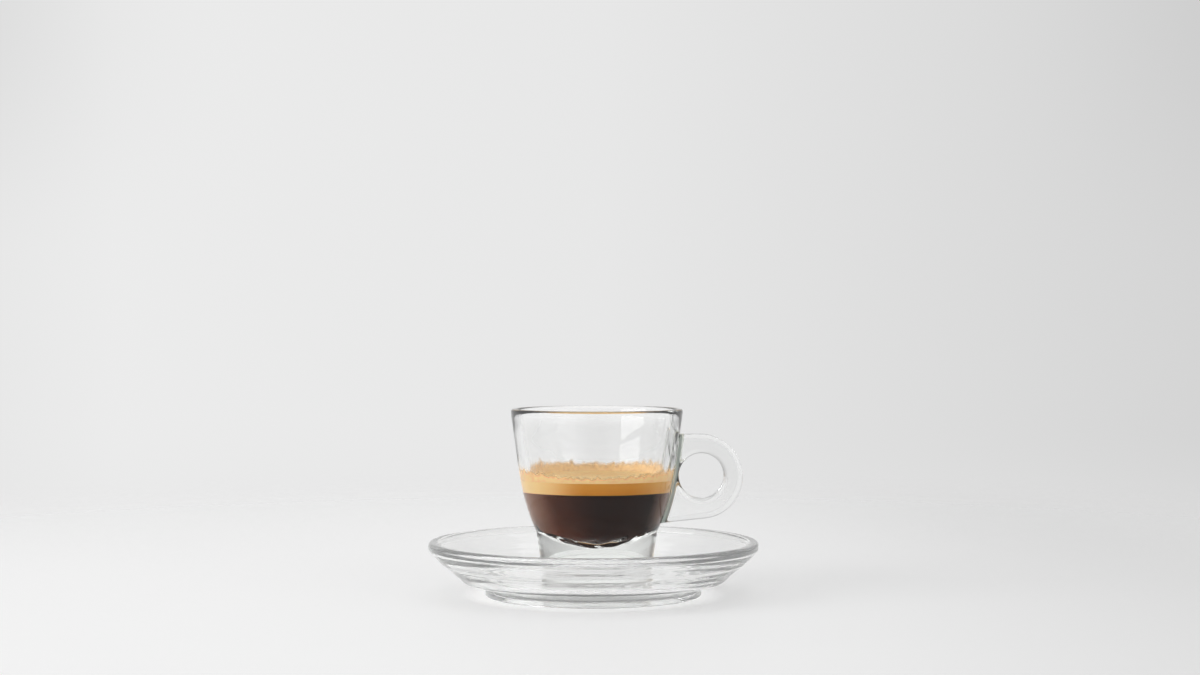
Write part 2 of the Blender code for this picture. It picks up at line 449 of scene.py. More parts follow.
@dataclass(frozen=True)
class FoamFinish:
    """Pale foam left on the glass, thin and broken towards its upper edge.

    A glow stands for the light that spreads inside it, most where it wets the glass.
    """

    against_glass: Colour = (1.0, 0.69, 0.36)
    in_the_air: Colour = (0.97, 0.73, 0.43)
    air_glow: Colour = (0.26, 0.20, 0.12)
    pit: Colour = (0.62, 0.38, 0.18)
    bubble_scale: float = 700.0
    glow: float = 0.28

    def build(self) -> Material:
        """Return the foam material, which reads the mesh's wetted and rise values."""
        graph = new_graph("foam_on_glass")
        place = graph.coordinates()
        cloud = graph.noise(place, 500.0, 3.0)
        wetted = graph.attribute("wetted")
        body = (1.0 - graph.attribute("rise")) * 1.45 + (cloud - 0.5) * 0.9
        foam = graph.mix(wetted, self.in_the_air, self.against_glass)
        pits = graph.cells(place, self.bubble_scale).band(0.5, 0.8) * 0.3
        return graph.surface(graph.principled({
            "Base Color": graph.mix(pits, foam, self.pit),
            "Roughness": cloud.band(0.2, 0.8) * 0.2 + 0.5,
            "Specular IOR Level": 0.2,
            "Alpha": body.band(0.1, 0.9),
            "Emission Color": graph.mix(wetted, self.air_glow, self.against_glass),
            "Emission Strength": self.glow,
        }))


@dataclass(frozen=True)
class FloorFinish:
    """White table top with a faint glow of its own, that fades out with distance.

    The glow is stronger under the saucer, a painted pool of the light that clear glass
    gathers there, and weaker to the right, a painted shade.
    Ranges are in metres.
    """

    colour: Colour = grey(0.45)
    glow: float = 0.66
    # Painted light and shade: a brighter glow under the saucer, a dimmer one to the right.
    painted_pool_glow: Colour = grey(0.97)
    left_glow: Colour = grey(0.68)
    painted_shade_glow_right: Colour = grey(0.53)
    under: Range = (0.050, 0.037)
    painted_shade_rightward: Range = (0.0, 0.26)
    fade: Range = (0.14, 0.65)

    def build(self) -> Material:
        """Return the floor material."""
        graph = new_graph("pale_floor")
        place = graph.coordinates()
        x, y, _ = graph.axes(place)
        away = (x * x + y * y).power(0.5)
        grain = graph.noise(place, 400.0)
        # Painted shade: the glow dims towards the right.
        glow_with_painted_shade = graph.mix(x.band(*self.painted_shade_rightward), self.left_glow, self.painted_shade_glow_right)
        table = graph.principled({
            "Base Color": graph.mix(grain * 0.02, self.colour, WHITE),
            "Roughness": 0.6,
            "Specular IOR Level": 0.2,
            # Painted light: a pool of brighter glow under the saucer.
            "Emission Color": graph.mix(away.band(*self.under), glow_with_painted_shade, self.painted_pool_glow),
            "Emission Strength": self.glow,
        })
        clear = graph.node("ShaderNodeBsdfTransparent")
        return graph.surface(graph.blend(away.band(*self.fade), table, clear))


def distances(line: Array, exponent: float = 1.0) -> Array:
    """Return how far along a line its points lie, with each step raised to an exponent."""
    steps = np.linalg.norm(np.diff(line, axis=0), axis=1) ** exponent
    return np.concatenate([[0.0], np.cumsum(steps)])


def unit(vectors: Array) -> Array:
    """Return vectors, one row each, at length 1."""
    return vectors / np.maximum(np.linalg.norm(vectors, axis=1, keepdims=True), 1e-12)


def smooth_curve(points: Points, spacing: float, per_span: int = 32) -> Outline:
    """Return a smooth curve through points.

    Each span is a centripetal Catmull-Rom curve: a blend of straight blends
    between four neighbouring points, with knots set apart by the square root
    of their distances.

    Args:
        points: The points that the curve passes, in millimetres.
        spacing: The largest distance between points along the result.
        per_span: The steps of each span.

    Returns:
        The curve's points, one row each.
    """
    given = np.asarray(points, float)
    padded = np.vstack([2 * given[0] - given[1], given, 2 * given[-1] - given[-2]])
    knots = distances(padded, 0.5)
    spans = len(given) - 1
    share = np.arange(per_span) / per_span
    k0, k1, k2, k3 = (knots[i:i + spans, None] for i in range(4))
    p0, p1, p2, p3 = (padded[i:i + spans, None, :] for i in range(4))
    t = k1 + (k2 - k1) * share

    def blend(a: Array, b: Array, ka: Array, kb: Array) -> Array:
        """Return the straight blend of a and b, a at knot ka and b at knot kb."""
        part = ((t - ka) / (kb - ka))[..., None]
        return a * (1 - part) + b * part

    a1, a2, a3 = blend(p0, p1, k0, k1), blend(p1, p2, k1, k2), blend(p2, p3, k2, k3)
    b1, b2 = blend(a1, a2, k0, k2), blend(a2, a3, k1, k3)
    curve = blend(b1, b2, k1, k2).reshape(-1, 2)
    return spaced(np.vstack([curve, given[-1]]), spacing)


def rounded(points: Points, radii: Sequence[float], per_arc: int = 6) -> Outline:
    """Return a polygon line whose corners are arcs.

    A corner's arc touches both of its sides: its centre lies on the line that
    halves the corner, at the radius over the sine of half the angle.

    Args:
        points: The corners, ends included, in millimetres.
        radii: The arc radius of each corner between the ends.
        per_arc: The steps along each arc.

    Returns:
        The line's points, one row each.
    """
    p = np.asarray(points, float)
    here = p[1:-1]
    back, ahead = unit(p[:-2] - here), unit(p[2:] - here)
    half = 0.5 * np.arccos(np.clip(np.sum(back * ahead, axis=1), -1.0, 1.0))[:, None]
    radius = np.asarray(radii, float)[:, None]
    centre = here + unit(back + ahead) * radius / np.sin(half)
    start = here + back * radius / np.tan(half) - centre
    end = here + ahead * radius / np.tan(half) - centre
    turn = np.maximum(math.pi - 2 * half, 1e-4)[..., None]
    share = np.linspace(0.0, 1.0, per_arc + 1)[None, :, None]
    swept = np.sin((1 - share) * turn) * start[:, None] + np.sin(share * turn) * end[:, None]
    arcs = centre[:, None] + swept / np.sin(turn)
    return np.vstack([p[:1], arcs.reshape(-1, 2), p[-1:]])


def spaced(line: Outline, spacing: float) -> Outline:
    """Return a line with points added where two of them lie further apart than spacing."""
    step = np.diff(line, axis=0)
    pieces = np.maximum(np.ceil(np.linalg.norm(step, axis=1) / spacing).astype(int), 1)
    start = np.repeat(np.arange(len(step)), pieces)
    first = np.concatenate([[0], np.cumsum(pieces)[:-1]])
    share = (np.arange(pieces.sum()) - np.repeat(first, pieces)) / np.repeat(pieces, pieces)
    return np.vstack([line[start] + step[start] * share[:, None], line[-1:]])


def thinned(line: Outline, least: float) -> Outline:
    """Return a line without the points that lie closer than least to the one before."""
    gaps = np.linalg.norm(np.diff(line, axis=0), axis=1)
    return line[np.concatenate([[True], gaps > least])]


def sparse(line: Outline, longest: float, bend: float) -> Outline:
    """Return a line with fewer points, closer together where it turns.

    Args:
        line: The line, without doubled points.
        longest: The length after which a point is kept.
        bend: The turn in radians after which a point is kept.

    Returns:
        The kept points, ends included.
    """
    step = np.diff(line, axis=0)
    heading = np.unwrap(np.arctan2(step[:, 1], step[:, 0]))
    along = distances(line)
    kept = [0]
    for index in range(1, len(step)):
        far = along[index + 1] - along[kept[-1]] > longest
        if far or abs(heading[index] - heading[kept[-1]]) > bend:
            kept.append(index)
    return line[[*kept, len(step)]]


def shifted(line: Outline, distance: float) -> Outline:
    """Return a line moved sideways, to the left of the way it runs."""
    along = unit(np.gradient(line, axis=0))
    return line + distance * np.column_stack([-along[:, 1], along[:, 0]])


def radius_at(line: Outline, height: Union[float, Array]) -> Array:
    """Return the radius of an outline at heights, for a part that only rises."""
    order = np.argsort(line[:, 1])
    return np.interp(height, line[order, 1], line[order, 0])


def new_mesh(name: str, points: Array, *faces: Array) -> Mesh:
    """Return a smooth-shaded mesh from arrays.

    Args:
        name: The mesh's name.
        points: One row of x, y, z in metres for each vertex.
        faces: Arrays of one row of vertex numbers for each face.

    Returns:
        The mesh.
    """
    mesh = bpy.data.meshes.new(name)
    mesh.from_pydata(points.tolist(), [], [face for rows in faces for face in rows.tolist()])
    mesh.shade_smooth()
    mesh.validate()
    return mesh


def turned(name: str, line: Outline, steps: int, axis_x: float, *waves: Union["Waves", "Ripple"]) -> Mesh:
    """Return a closed surface of revolution.

    A point at share t along the outline and at angle a is
    (axis_x + r(t) cos a, r(t) sin a, h(t)), and waves move it across the outline.

    Args:
        name: The mesh's name.
        line: The outline in millimetres, from the axis at its top, out and down
            the outer side, to the axis at its bottom.
        steps: The number of steps round the axis.
        axis_x: Where the axis stands along X, in metres.
        waves: The unevenness of the surface, if it has any.

    Returns:
        The mesh.
    """
    rings = line[1:-1] * MM
    angle = np.arange(steps) * 2 * math.pi / steps
    along = unit(np.gradient(rings, axis=0))
    radius = np.repeat(rings[:, :1], steps, axis=1)
    level = np.repeat(rings[:, 1:], steps, axis=1)
    for wave in waves:
        height = wave.height(rings, angle)
        radius = radius - along[:, 1:] * height
        level = level + along[:, :1] * height
    grid = np.stack([axis_x + radius * np.cos(angle), radius * np.sin(angle), level], axis=-1)
    poles = np.array([[axis_x, 0.0, line[0, 1] * MM], [axis_x, 0.0, line[-1, 1] * MM]])
    points = np.vstack([grid.reshape(-1, 3), poles])
    ring = np.arange(len(rings) - 1)[:, None] * steps
    here = np.arange(steps)[None, :]
    after = (here + 1) % steps
    quads = np.stack(
        [ring + here, ring + steps + here, ring + steps + after, ring + after], axis=-1
    ).reshape(-1, 4)
    top, bottom = len(points) - 2, len(points) - 1
    last = (len(rings) - 1) * steps
    caps = np.vstack([
        np.column_stack([np.full(steps, top), here[0], after[0]]),
        np.column_stack([np.full(steps, bottom), last + after[0], last + here[0]]),
    ])
    return new_mesh(name, points, quads, caps)


def ring_quads(rows: int, columns: int) -> Array:
    """Return the faces of a grid of points that closes on itself both ways."""
    i = np.arange(rows)[:, None]
    j = np.arange(columns)[None, :]
    below, right = (i + 1) % rows, (j + 1) % columns
    return np.stack(
        [i * columns + j, i * columns + right, below * columns + right, below * columns + j],
        axis=-1,
    ).reshape(-1, 4)


@dataclass(frozen=True)
class Waves:
    """Unevenness of pressed glass: a sum of waves round and along a piece."""

    seed: int
    depth: float = 0.03 * MM
    count: int = 7
    turns: tuple[int, int] = (2, 9)
    rates: Range = (60.0, 320.0)
    fade: float = 10.0 * MM

    def height(self, rings: Array, angle: Array) -> Array:
        """Return how far each point stands out.

        The height is the mean of cosines of (n a + k s + phase), where a is the
        angle, s the length along the outline, n a whole number and k a rate, both
        drawn from their ranges, faded out near the axis.

        Args:
            rings: The outline's radii and heights in metres, one row each.
            angle: The angles round the axis.

        Returns:
            One height in metres for each ring and angle.
        """
        draw = np.random.default_rng(self.seed)
        along = distances(rings)
        turns = draw.integers(*self.turns, self.count)[:, None, None]
        rate = draw.uniform(*self.rates, self.count)[:, None, None]
        phase = draw.uniform(0.0, 2 * math.pi, self.count)[:, None, None]
        waves = np.cos(turns * angle[None, None, :] + rate * along[None, :, None] + phase)
        return self.depth * waves.mean(axis=0) * np.clip(rings[:, :1] / self.fade, 0.0, 1.0)


@dataclass(frozen=True)
class Ripple:
    """Shallow ripples in the bottom of the bowl, which the coffee follows.

    They depend on the place alone, so that both surfaces get the same ones.
    """

    depth: float = 0.26 * MM
    wavelengths: Range = (2.4 * MM, 8.0 * MM)
    growth: float = 1.4
    count: int = 18
    seed: int = 8
    widest: float = 20.5 * MM
    lowest: float = 14.0 * MM
    highest: float = 29.0 * MM
    fade: float = 3.0 * MM

    def height(self, rings: Array, angle: Array) -> Array:
        """Return how far each point stands out.

        The height is a sum of plane waves cos(k . p + phase) at a place p, with
        wave vectors k of random lengths and directions, longer waves being
        deeper, faded out at the ends of the bowl. It points the same way
        whichever way the outline runs.

        Args:
            rings: The outline's radii and heights in metres, one row each.
            angle: The angles round the axis.

        Returns:
            One height in metres for each ring and angle.
        """
        draw = np.random.default_rng(self.seed)
        directions = unit(draw.normal(size=(self.count, 3)))
        lengths = draw.uniform(*self.wavelengths, self.count)[:, None]
        share = (lengths[..., None] / self.wavelengths[1]) ** self.growth
        phase = draw.uniform(0.0, 2 * math.pi, self.count)[:, None, None]
        x = rings[:, :1] * np.cos(angle)
        y = rings[:, :1] * np.sin(angle)
        kx, ky, kz = (directions * 2 * math.pi / lengths).T[:, :, None, None]
        waves = (share * np.cos(kx * x + ky * y + kz * rings[:, 1:] + phase)).sum(axis=0)
        ends = (self.widest - rings[:, :1], rings[:, 1:] - self.lowest, self.highest - rings[:, 1:])
        window = np.prod([np.clip(end / self.fade, 0.0, 1.0) for end in ends], axis=0)
        upward = np.sign(np.gradient(rings[:, 1]))[:, None]
        return self.depth * waves / math.sqrt(2 * self.count) * window * upward


def placed(name: str, data: bpy.types.ID) -> Object:
    """Return a new object in the scene that holds the given data."""
    made = bpy.data.objects.new(name, data)
    bpy.context.scene.collection.objects.link(made)
    return made


def show(name: str, mesh: Mesh, material: Material) -> Object:
    """Return a piece of the object that rides on the body.

    Args:
        name: The piece's name.
        mesh: Its mesh, already in place.
        material: Its material.

    Returns:
        The piece.
    """
    piece = placed(name, mesh)
    mesh.materials.clear()
    mesh.materials.append(material)
    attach(piece, "root")
    return piece


@dataclass
class Saucer:
    """The glass saucer, turned about the frame's origin. Sizes in millimetres.

    Close rings in its surface give the fine level lines that show in its glass.
    """

    well: Point = (43.0, 7.6)
    seat: Point = (22.0, 6.8)
    flange_top: Points = ((45.6, 9.2), (51.2, 13.6), (55.8, 17.5))
    lip: Points = ((57.0, 19.6), (60.0, 19.75), (60.0, 17.0))
    flange_under: Points = ((58.6, 15.2), (55.5, 12.1), (51.4, 8.9), (47.6, 5.4), (40.4, 3.0))
    foot_radius: float = 39.4
    foot_height: float = 2.4
    foot_inner: float = 36.6
    recess: Point = (35.4, 2.2)
    spacing: float = 0.55
    steps: int = 240

    def outline(self) -> Outline:
        """Return the saucer's outline, corners rounded as pressed glass has them."""
        corners = [
            ((self.seat[0] - 0.8, self.seat[1]), 0.7),
            (self.seat, 0.5),
            (self.well, 1.6),
            *zip(self.flange_top, (2.0, 3.0, 2.0)),
            *zip(self.lip, (1.2, 1.3, 1.1)),
            *zip(self.flange_under, (2.0, 2.2, 1.2, 0.8, 0.7)),
            ((self.foot_radius, self.foot_height), 0.5),
            ((self.foot_radius, 0.0), 0.6),
            ((self.foot_inner, 0.0), 0.6),
            (self.recess, 1.2),
        ]
        points = [(0.0, self.seat[1]), *(point for point, _ in corners), (0.0, self.recess[1])]
        line = rounded(points, [radius for _, radius in corners])
        return thinned(spaced(line, self.spacing), DOUBLED)

    def build(self, glass: Material) -> Object:
        """Return the saucer in place of its solid."""
        slow = Waves(seed=3)
        rings = Waves(seed=6, depth=0.08 * MM, turns=(0, 3), rates=(900.0, 2200.0))
        mesh = turned("saucer_glass", self.outline(), self.steps, 0.0, slow, rings)
        piece = show("saucer_glass", mesh, glass)
        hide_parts("saucer")
        return piece


@dataclass
class Handle:
    """The flat ring handle, in the XZ plane of the cup. Sizes in millimetres.

    It is a ring of cross-sections about the finger hole. Each runs from the
    edge of the hole out to the edge of the plate, on both of its faces.
    """

    hole: Point = (38.0, 43.3)
    hole_radius: float = 8.2
    centre: Point = (37.7, 43.1)
    radius: float = 15.4
    root_top: Point = (29.0, 58.5)
    root_bottom: Point = (22.0, 26.0)
    thickness: float = 7.0
    edge: float = 1.7
    fillet: float = 2.0
    turns: int = 256
    across: int = 34
    edge_steps: int = 8
    arc_steps: int = 90
    outline_spacing: float = 0.04
    roundness: float = 0.98

    def outline(self) -> Outline:
        """Return the plate's outer outline, closed, from its round end's top.

        The round end is an arc that the top side touches from above. The lower
        side touches it where the line to the lower root corner leaves it: at
        the corner's own angle plus acos(radius / distance).
        """
        centre = np.asarray(self.centre)
        to_low = np.asarray(self.root_bottom) - centre
        lean = math.atan2(to_low[1], to_low[0]) + math.acos(self.radius / math.hypot(*to_low))
        angle = np.linspace(math.pi / 2, lean, self.arc_steps)
        arc = centre + self.radius * np.column_stack([np.cos(angle), np.sin(angle)])
        return np.vstack([arc, self.root_bottom, self.root_top, arc[:1]])

    def _reach(self, angle: Array) -> Array:
        """Return how far the plate reaches from the hole's centre at angles."""
        away = spaced(self.outline(), self.outline_spacing)[:-1] - np.asarray(self.hole)
        return np.interp(angle, np.arctan2(away[:, 1], away[:, 0]), np.hypot(*away.T), period=2 * math.pi)

    def _half_thickness(self, place: Array, wall: Outline) -> Array:
        """Return half the plate's thickness at places in its plane.

        It grows along a quarter round near the wall of the cup, as far out as
        the fillet is wide, and stops just short of the upright end.
        """
        away = place[..., 0] - radius_at(wall, place[..., 1])
        near = np.clip((self.fillet - away) / self.fillet, 0.0, 1.0)
        return self.thickness / 2 + self.fillet * (1 - np.sqrt(1 - self.roundness * near ** 2))

    def build(self, wall: Outline, axis_x: float) -> Mesh:
        """Return the handle as a closed mesh.

        Args:
            wall: The cup's outer outline.
            axis_x: Where the cup's axis stands along X, in metres.

        Returns:
            The mesh, in the row frame.
        """
        angle = np.arange(self.turns) * 2 * math.pi / self.turns
        direction = np.column_stack([np.cos(angle), np.sin(angle)])
        bend = np.linspace(0.0, math.pi / 2, self.edge_steps + 1)
        flat = np.linspace(0.0, 1.0, self.across)[1:-1]
        inset = self.edge * (1 - np.cos(bend))
        outer = self._reach(angle)[:, None]
        low, high = self.hole_radius + self.edge, outer - self.edge
        reach = np.hstack([
            np.tile(self.hole_radius + inset, (self.turns, 1)),
            low + (high - low) * flat,
            outer - inset[::-1],
        ])
        drop = np.concatenate([1 - np.sin(bend), np.zeros(len(flat)), 1 - np.sin(bend[::-1])])
        place = np.asarray(self.hole) + direction[:, None, :] * reach[..., None]
        half = self._half_thickness(place, wall) - self.edge * drop
        front = np.stack([place[..., 0], -half, place[..., 1]], axis=-1)
        rear = (front * np.array([1, -1, 1]))[:, ::-1]
        loop = np.concatenate([front, rear], axis=1)
        points = loop.reshape(-1, 3) * MM + np.array([axis_x, 0.0, 0.0])
        return outward(new_mesh("handle_form", points, ring_quads(self.turns, loop.shape[1])))


def outward(mesh: Mesh) -> Mesh:
    """Return a closed mesh with its faces outwards, so that its volume is above 0."""
    form = bmesh.new()
    form.from_mesh(mesh)
    if form.calc_volume(signed=True) < 0:
        mesh.flip_normals()
    form.free()
    return mesh


def united(name: str, body: Mesh, addition: Mesh) -> Mesh:
    """Return the union of two closed meshes.

    Args:
        name: The new mesh's name.
        body: The first mesh.
        addition: The mesh that is joined to it.

    Returns:
        One closed mesh, smooth but for its sharp edges.
    """
    objects = [placed(f"{name}_{mesh.name}", mesh) for mesh in (body, addition)]
    union = objects[0].modifiers.new("union", "BOOLEAN")
    union.operation = "UNION"
    union.object = objects[1]
    evaluated = objects[0].evaluated_get(bpy.context.evaluated_depsgraph_get())
    mesh = bpy.data.meshes.new_from_object(evaluated)
    for item in objects:
        bpy.data.objects.remove(item, do_unlink=True)
    mesh.name = name
    mesh.shade_smooth()
    return mesh


@dataclass
class Cup:
    """The glass cup with its handle, turned about its own axis. Sizes in millimetres."""

    axis_x: float = 1.2 * MM
    bowl_bottom: float = 18.4
    bowl_radius: float = 20.0
    bowl_arc_top: float = 26.0
    inner_wall: Points = ((19.5, 30.0), (22.3, 37.0), (24.0, 43.5), (25.3, 50.0), (27.0, 59.5))
    rim: Points = (
        (28.4, 65.8), (28.75, 66.9), (29.3, 67.5), (30.3, 67.7), (31.0, 67.5), (31.3, 67.05),
        (31.3, 66.0), (30.95, 63.5),
    )
    outer_wall: Points = (
        (30.5, 60.2), (29.75, 55.0), (28.7, 47.3), (26.95, 37.4), (24.8, 29.9), (23.2, 25.7),
        (22.2, 23.4), (21.85, 21.5), (21.5, 19.2), (20.6, 13.4), (19.8, 8.6),
    )
    foot_height: float = 7.1
    foot_radius: float = 19.4
    kick_radius: float = 15.0
    kick_depth: float = 0.9
    spacing: float = 0.7
    bend: float = 0.1
    bowl_rows: int = 28
    steps: int = 240
    handle: Handle = field(default_factory=Handle)
    ripple: Ripple = field(default_factory=Ripple)

    def bowl(self) -> Outline:
        """Return the round bottom of the inside, from the axis outwards.

        It is an arc of a sphere: the radius at an angle a from straight down is
        R sin a, and the height R (1 - cos a).
        """
        end = math.acos(1 - (self.bowl_arc_top - self.bowl_bottom) / self.bowl_radius)
        angle = np.linspace(0.0, end, self.bowl_rows)
        return np.column_stack([
            self.bowl_radius * np.sin(angle),
            self.bowl_bottom + self.bowl_radius * (1 - np.cos(angle)),
        ])

    def inside(self) -> Outline:
        """Return the inside from the axis up to the rim."""
        bottom = self.bowl()
        wall = smooth_curve([bottom[-1], *self.inner_wall, self.rim[0]], self.spacing)
        return np.vstack([bottom, wall[1:]])

    def outside(self) -> Outline:
        """Return the outside from the rim down to the foot."""
        return smooth_curve([self.rim[-1], *self.outer_wall], self.spacing)

    def outline(self) -> Outline:
        """Return the outline of the whole body of the cup."""
        bottom = self.bowl()
        wall = smooth_curve([bottom[-1], *self.inner_wall, *self.rim, *self.outer_wall], self.spacing)
        foot = rounded(
            [
                self.outer_wall[-1],
                (self.foot_radius, self.foot_height),
                (self.kick_radius, self.foot_height),
                (self.kick_radius - self.kick_depth, self.foot_height + self.kick_depth),
                (0.0, self.foot_height + self.kick_depth),
            ],
            (0.9, 0.4, 0.5),
        )
        line = spaced(np.vstack([bottom, wall[1:], foot[1:]]), self.spacing)
        return sparse(thinned(line, DOUBLED), self.spacing, self.bend)

    def build(self, glass: Material) -> Object:
        """Return the cup in place of its solid."""
        waves = Waves(seed=11, depth=0.012 * MM)
        body = turned("cup_body", self.outline(), self.steps, self.axis_x, waves, self.ripple)
        grip = self.handle.build(self.outside(), self.axis_x)
        mesh = united("cup_glass", body, grip)
        piece = show("cup_glass", mesh, glass)
        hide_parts("cup")
        return piece


@dataclass
class Drink:
    """The coffee and its crema, which wet the inside of the cup. Millimetres."""

    cup: Cup
    coffee_top: float = 38.15
    crema_top: float = 42.65
    edge_rise: float = 0.25
    edge_width: float = 1.2
    wetting: float = 0.06
    overlap: float = 0.05
    core: float = 0.3
    innermost: float = 0.4
    top_rings: int = 60
    under_rings: int = 20
    steps: int = 240

    def wetted(self) -> Outline:
        """Return the inside of the cup, moved just into the wall."""
        return shifted(self.cup.inside(), -self.wetting)

    def side(self, low: float, high: float) -> Outline:
        """Return the drink's side between two heights, from the top down."""
        wall = self.wetted()
        between = wall[(wall[:, 1] > low) & (wall[:, 1] < high) & (wall[:, 0] > self.core)]
        ends = np.column_stack([radius_at(wall, np.array([high, low])), [high, low]])
        return np.vstack([ends[:1], between[::-1], ends[1:]])

    def build_coffee(self) -> Object:
        """Return the coffee in place of its solid."""
        wall = self.wetted()
        rings = wall[(wall[:, 1] < self.coffee_top) & (wall[:, 0] > self.core)]
        edge = [radius_at(wall, self.coffee_top), self.coffee_top]
        line = np.vstack([
            [0.0, self.coffee_top],
            spaced(np.array([[0.5, self.coffee_top], edge]), 1.0),
            rings[::-1],
            [0.0, self.cup.bowl_bottom - self.wetting],
        ])
        mesh = turned("coffee_liquid", line, self.steps, self.cup.axis_x, self.cup.ripple)
        finish = CoffeeFinish(self.cup.bowl_bottom * MM, self.coffee_top * MM)
        piece = show("coffee_liquid", mesh, finish.build())
        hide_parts("coffee")
        return piece

    def surface_height(self, radius: Array) -> Array:
        """Return the crema's height at a radius: level, then climbing at the wall.

        The climb is the square of the share of the edge's width.
        """
        wall = radius_at(self.wetted(), self.crema_top)
        share = np.clip((radius - wall + self.edge_width) / self.edge_width, 0.0, 1.0)
        return self.crema_top + self.edge_rise * share ** 2

    def build_crema(self) -> Object:
        """Return the crema in place of its solid."""
        top = self.crema_top + self.edge_rise
        side = self.side(self.coffee_top - self.overlap, top)
        radius = np.linspace(self.innermost, side[0, 0], self.top_rings)[:-1]
        bottom = np.linspace(side[-1, 0], self.innermost, self.under_rings)[1:]
        low = self.coffee_top - self.overlap
        line = np.vstack([
            [0.0, self.crema_top],
            np.column_stack([radius, self.surface_height(radius)]),
            side,
            np.column_stack([bottom, np.full(len(bottom), low)]),
            [0.0, low],
        ])
        mesh = turned("crema_foam", line, self.steps, self.cup.axis_x)
        finish = CremaFinish(self.coffee_top * MM, self.crema_top * MM)
        piece = show("crema_foam", mesh, finish.build())
        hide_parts("crema")
        return piece

    def build(self) -> list[Object]:
        """Return the coffee and the crema."""
        return [self.build_coffee(), self.build_crema()]


@dataclass
class WallFoam:
    """The foam that clings to the wall above the crema. Sizes in millimetres."""

    drink: Drink
    rise: float = 4.2
    sides_rise: float = 1.3
    back_rise: float = 0.7
    ragged: float = 0.30
    peaks: float = 0.4
    peaks_from: float = 0.6
    edge_waves: int = 26
    edge_turns: tuple[int, int] = (7, 56)
    edge_seed: int = 23
    thickness: float = 0.38
    lump: float = 0.25
    lump_waves: int = 12
    lump_turns: tuple[int, int] = (20, 120)
    lump_seed: int = 5
    sunk: float = 0.4
    thinning: float = 0.97
    around: int = 540
    up: int = 15

    def height(self, angle: Array) -> Array:
        """Return how high the foam reaches above the crema at angles.

        It is a slow wave, high at both sides and lowest in front, and a sum of
        quicker cosines of (n a + phase), whose peaks are drawn out.
        """
        draw = np.random.default_rng(self.edge_seed)
        turns = draw.integers(*self.edge_turns, self.edge_waves)[:, None]
        phase = draw.uniform(0.0, 2 * math.pi, self.edge_waves)[:, None]
        edge = np.cos(turns * angle + phase).sum(axis=0) / math.sqrt(self.edge_waves)
        slow = self.rise + self.sides_rise * np.cos(2 * angle) + self.back_rise * np.sin(angle)
        drawn_out = self.peaks * (np.maximum(edge, self.peaks_from) - self.peaks_from)
        return slow + self.ragged * edge + drawn_out

    def build(self) -> Object:
        """Return the foam.

        At share t of its height it reaches from just inside the wall to a
        thickness that shrinks with the square root of 1 - 0.97 t. Its lumps are
        the mean of cosines of (n a + k t + phase).
        """
        angle = np.arange(self.around) * 2 * math.pi / self.around
        share = np.linspace(0.0, 1.0, self.up)
        low = self.drink.crema_top - self.sunk
        height = low + (self.height(angle)[:, None] + self.sunk) * share
        wall = radius_at(self.drink.wetted(), height)
        draw = np.random.default_rng(self.lump_seed)
        lumps = np.cos(
            draw.integers(*self.lump_turns, self.lump_waves)[:, None, None] * angle[:, None]
            + draw.uniform(-9.0, 9.0, self.lump_waves)[:, None, None] * share
            + draw.uniform(0.0, 6.3, self.lump_waves)[:, None, None]
        ).mean(axis=0)
        thickness = self.thickness + self.lump * lumps
        depth = self.drink.wetting + thickness * np.sqrt(1.0 - self.thinning * share)
        radius = np.concatenate([wall, (wall - depth)[:, ::-1]], axis=1)
        level = np.concatenate([height, height[:, ::-1]], axis=1)
        points = np.stack(
            [radius * np.cos(angle)[:, None], radius * np.sin(angle)[:, None], level], axis=-1
        )
        points = points.reshape(-1, 3) * MM + np.array([self.drink.cup.axis_x, 0.0, 0.0])
        mesh = outward(new_mesh("foam_on_wall", points, ring_quads(self.around, 2 * self.up)))
        values = {
            "wetted": np.repeat([1.0, 0.0], self.up),
            "rise": np.concatenate([share, share[::-1]]),
        }
        for name, across in values.items():
            held = mesh.attributes.new(name, "FLOAT", "POINT")
            held.data.foreach_set("value", np.tile(across, self.around).astype(np.float32))
        return show("foam_on_wall", mesh, FoamFinish().build())


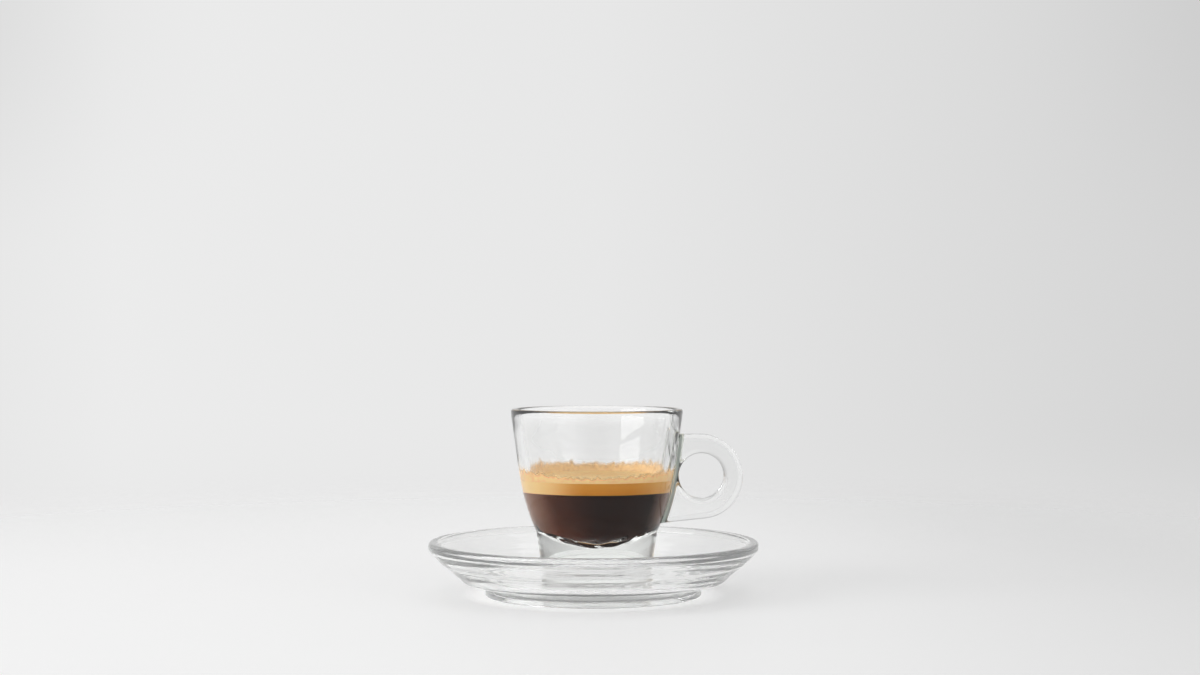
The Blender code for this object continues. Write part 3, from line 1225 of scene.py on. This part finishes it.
@dataclass
class Studio:
    """Pale floor, soft light and the camera. Lengths in metres."""

    saucer_place: float = -2.37 * MM
    camera_distance: float = 0.711
    camera_height: float = 0.0936
    focal_pixels: float = 1950.0
    floor_radius: float = 1.3
    floor_drop: float = 0.08 * MM
    aim: float = 0.04

    def build_floor(self) -> None:
        """Make the floor: a flat disc that fades out towards its edge."""
        line = np.array([[0.0, 0.0], [0.3, 0.0], [1.0, 0.0], [1.0, -0.005], [0.0, -0.005]])
        line *= self.floor_radius / MM
        mesh = turned("floor", line, 96, 0.0)
        mesh.transform(((1, 0, 0, 0), (0, 1, 0, 0), (0, 0, 1, -self.floor_drop), (0, 0, 0, 1)))
        floor = placed("floor", mesh)
        mesh.materials.append(FloorFinish().build())

    def build_world(self) -> None:
        """Make the surroundings: pale all round, dimmer to the right and in front."""
        bpy.context.scene.world = bpy.data.worlds.new("studio")
        graph = Graph(bpy.context.scene.world)
        x, y, z = graph.axes(graph.node("ShaderNodeTexCoord", output="Generated"))
        tones = (
            (0.0, 0.80), (0.022, 0.76), (0.034, 0.33), (0.066, 0.33), (0.10, 0.62), (0.38, 0.86),
            (0.5, 0.83), (0.645, 0.71), (0.80, 0.58), (0.90, 0.48), (0.934, 0.31), (0.966, 0.31),
            (0.978, 0.66), (1.0, 0.70),
        )
        behind = graph.node(
            "ShaderNodeValToRGB",
            {"stops": [(place, grey(tone)) for place, tone in tones]},
            {0: x * 0.5 + 0.5},
        )
        low = z.band(-0.04, -0.14)
        around = graph.mix(y.band(0.25, 0.02), behind, grey(0.78))
        ground = graph.mix(x * 0.5 + 0.5, grey(0.88), grey(0.74))
        front = y.band(-0.88, -0.97)
        corners = z.band(0.03, 0.17) * (x * x).band(0.03, 0.11) * y.band(0.85, 0.92) * 0.3
        above = z.band(0.25, 0.6)
        around = graph.mix(corners, around, grey(0.55))
        glow = graph.mix(front, around, grey(0.20))
        tone = graph.mix(low, graph.mix(above, glow, grey(0.52)), ground)
        background = graph.node("ShaderNodeBackground", inputs={"Color": tone, "Strength": 1.0})
        graph.node("ShaderNodeOutputWorld", inputs={"Surface": background})

    def add_panel(
        self, name: str, place: Sequence[float], size: tuple[float, float], radiance: float
    ) -> None:
        """Add a soft light panel that faces the cup.

        Args:
            name: The light's name.
            place: Its middle.
            size: Its width and height.
            radiance: How bright its face is, on the scale where 1 is white.
        """
        light = bpy.data.lights.new(name, "AREA")
        light.shape = "RECTANGLE"
        light.size, light.size_y = size
        light.energy = radiance * math.pi * size[0] * size[1]
        panel = placed(name, light)
        back = np.asarray(place) - np.array([0.0, 0.0, self.aim])
        pitch = math.atan2(math.hypot(back[0], back[1]), back[2])
        panel.location = place
        panel.rotation_euler = (pitch, 0.0, math.atan2(back[0], -back[1]))
        panel.visible_camera = False

    def build_camera(self) -> None:
        """Make the camera, level and in front of the cup."""
        data = bpy.data.cameras.new("camera")
        data.sensor_width = SENSOR_WIDTH
        data.lens = SENSOR_WIDTH * self.focal_pixels / PHOTO_WIDTH
        camera = placed("camera", data)
        camera.location = (-self.saucer_place, -self.camera_distance, self.camera_height)
        camera.rotation_euler = (math.pi / 2, 0.0, 0.0)
        bpy.context.scene.camera = camera

    def build(self) -> None:
        """Make the floor, the surroundings, the lights and the camera."""
        self.build_floor()
        self.build_world()
        self.add_panel("key_left", (-1.05, -0.55, 0.56), (0.95, 0.65), 4.1)
        self.add_panel("fill_right", (1.0, -0.8, 0.6), (0.8, 0.8), 0.9)
        self.add_panel("top", (0.0, 0.25, 1.6), (1.4, 1.2), 0.8)
        self.build_camera()
        bpy.context.scene.view_settings.view_transform = "Standard"
        bpy.context.scene.view_settings.gamma = 0.84


def main() -> None:
    """Build the studio, the saucer, the cup, the drink and its foam, in that order."""
    logging.basicConfig(level=logging.INFO, format="%(name)s: %(message)s")
    Studio().build()
    cup = Cup()
    drink = Drink(cup)
    glass = GlassFinish(
        "clear_pressed_glass",
        glow=0.03,
        glow_from=62.0 * MM,
        root_wall=cup.outer_wall[:8],
        root_axis=cup.axis_x,
    ).build()
    saucer_glass = GlassFinish(
        "saucer_pressed_glass",
        absorbed_colour=(0.90, 0.92, 0.90),
        absorption=2.0,
        haze=0.08,
        glow=0.025,
    ).build()
    pieces = [Saucer().build(saucer_glass), cup.build(glass), *drink.build(), WallFoam(drink).build()]
    for piece in pieces:
        LOG.info("%s has %d faces", piece.name, len(piece.data.polygons))


if __name__ == "__main__":
    main()
